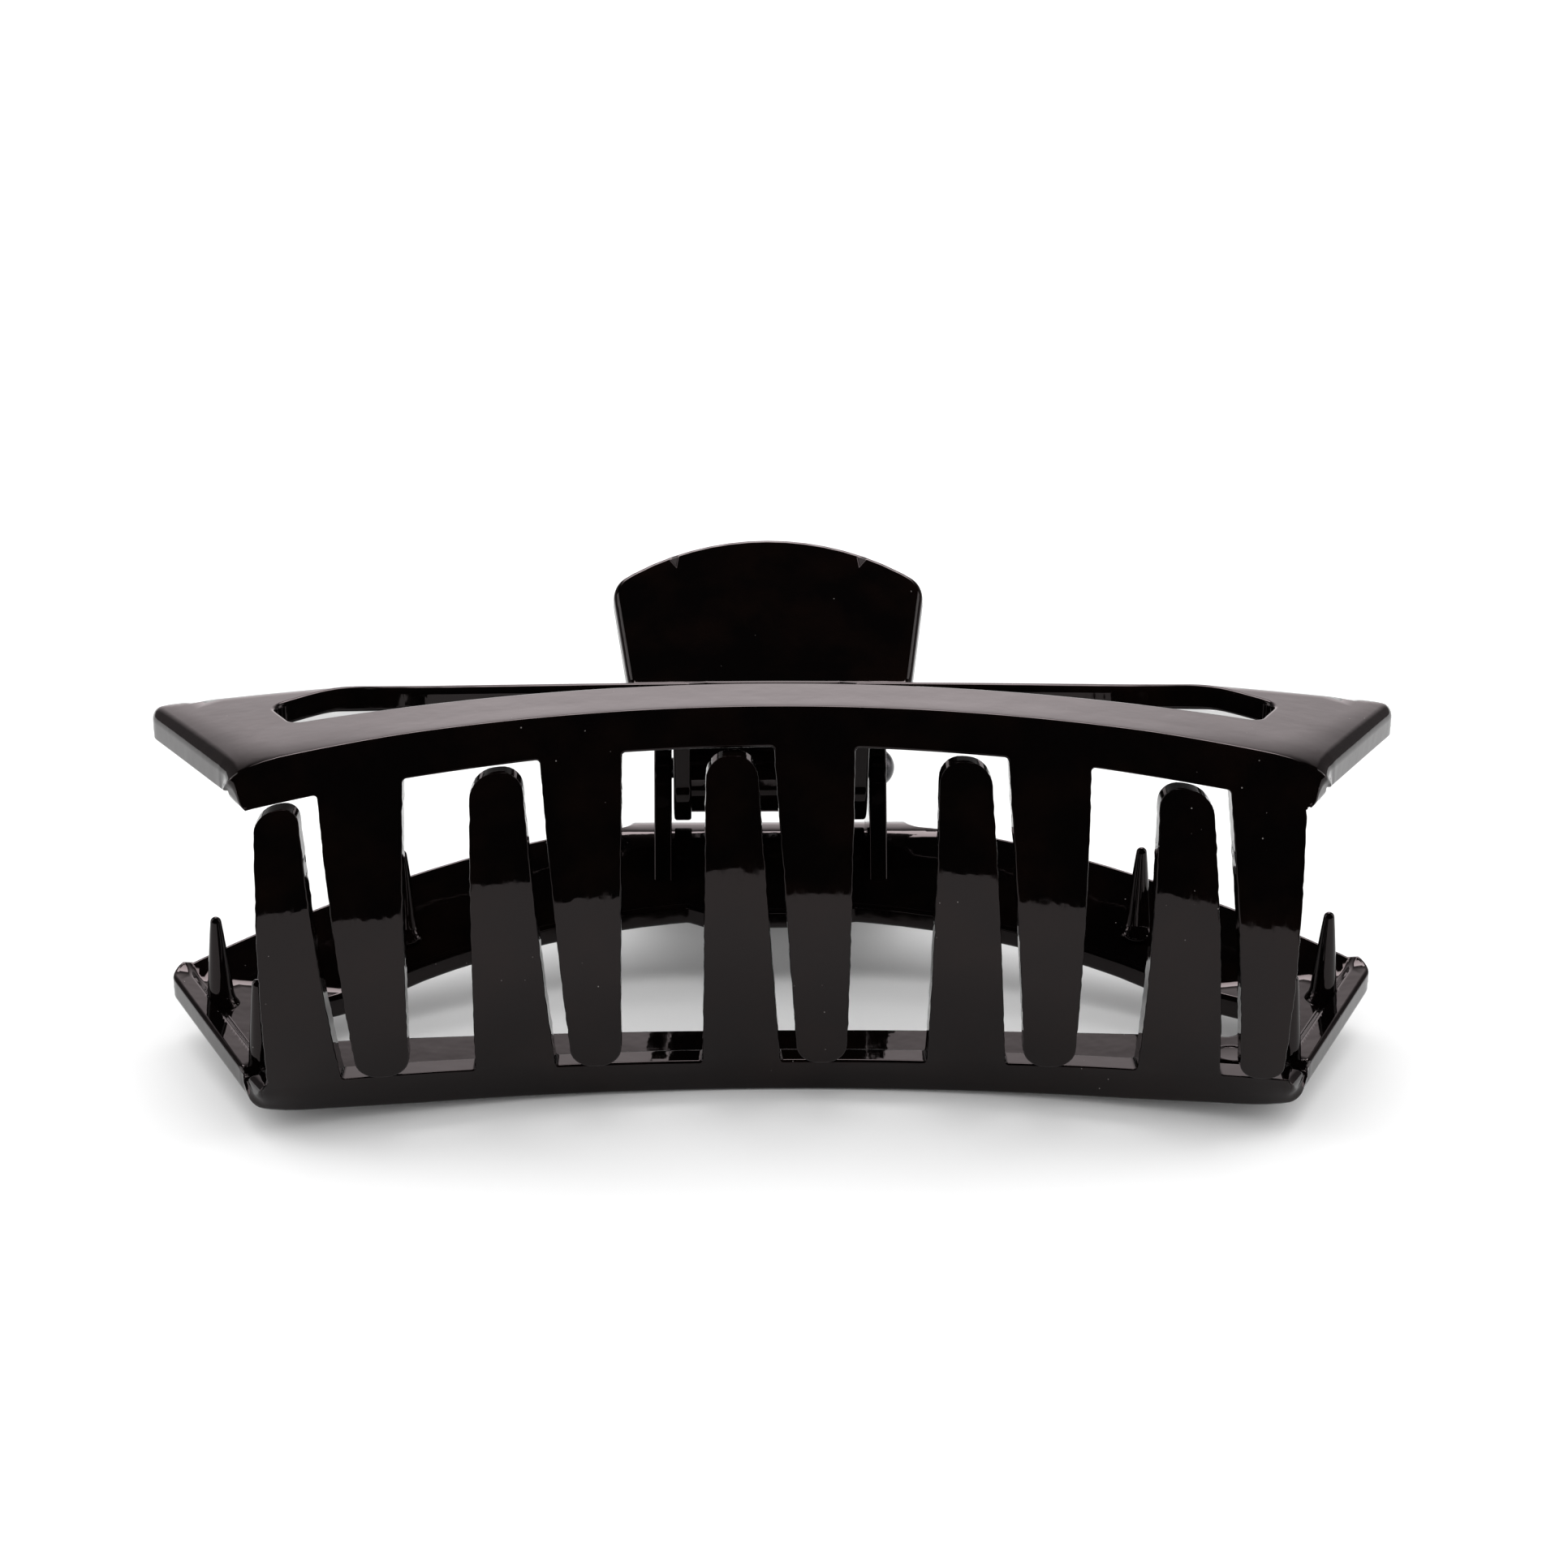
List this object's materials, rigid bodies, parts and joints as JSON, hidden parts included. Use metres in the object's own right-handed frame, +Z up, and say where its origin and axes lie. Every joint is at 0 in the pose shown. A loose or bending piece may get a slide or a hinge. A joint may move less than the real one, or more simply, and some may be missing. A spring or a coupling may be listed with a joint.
{
  "type": "claw hair clip",
  "caption": "Large black plastic claw hair clip: two arched, slotted jaws with interleaving teeth, hinged on a steel pin and closed by a hidden torsion spring.",
  "frame": {"origin": "middle of the closed clip's bounding box, at the bottom where it lies on a table", "axes": "+X along the jaws and the hinge pin, +Y from the teeth to the finger tabs, +Z up from the lower jaw to the upper jaw"},
  "size_m": [0.11, 0.0608, 0.0366],
  "materials": {
    "jaw_plastic": "high gloss injection-moulded black",
    "pin_steel": "blackened steel with a domed head",
    "spring_steel": "drawn spring wire"
  },
  "bodies": {
    "lower": {"lower_jaw": "jaw_plastic", "hinge_pin": "pin_steel", "torsion_spring": "spring_steel"},
    "upper": {"upper_jaw": "jaw_plastic"}
  },
  "joints": [
    {"name": "jaw_hinge", "type": "hinge", "parent": "lower", "child": "upper", "pos_m": [0, 0.0132, 0.0183], "axis": [-1, 0, 0], "range_deg": [0, 80], "stiffness_Nm_per_rad": 0.057, "springref_deg": -57.3, "deforming": ["torsion_spring"]}
  ]
}
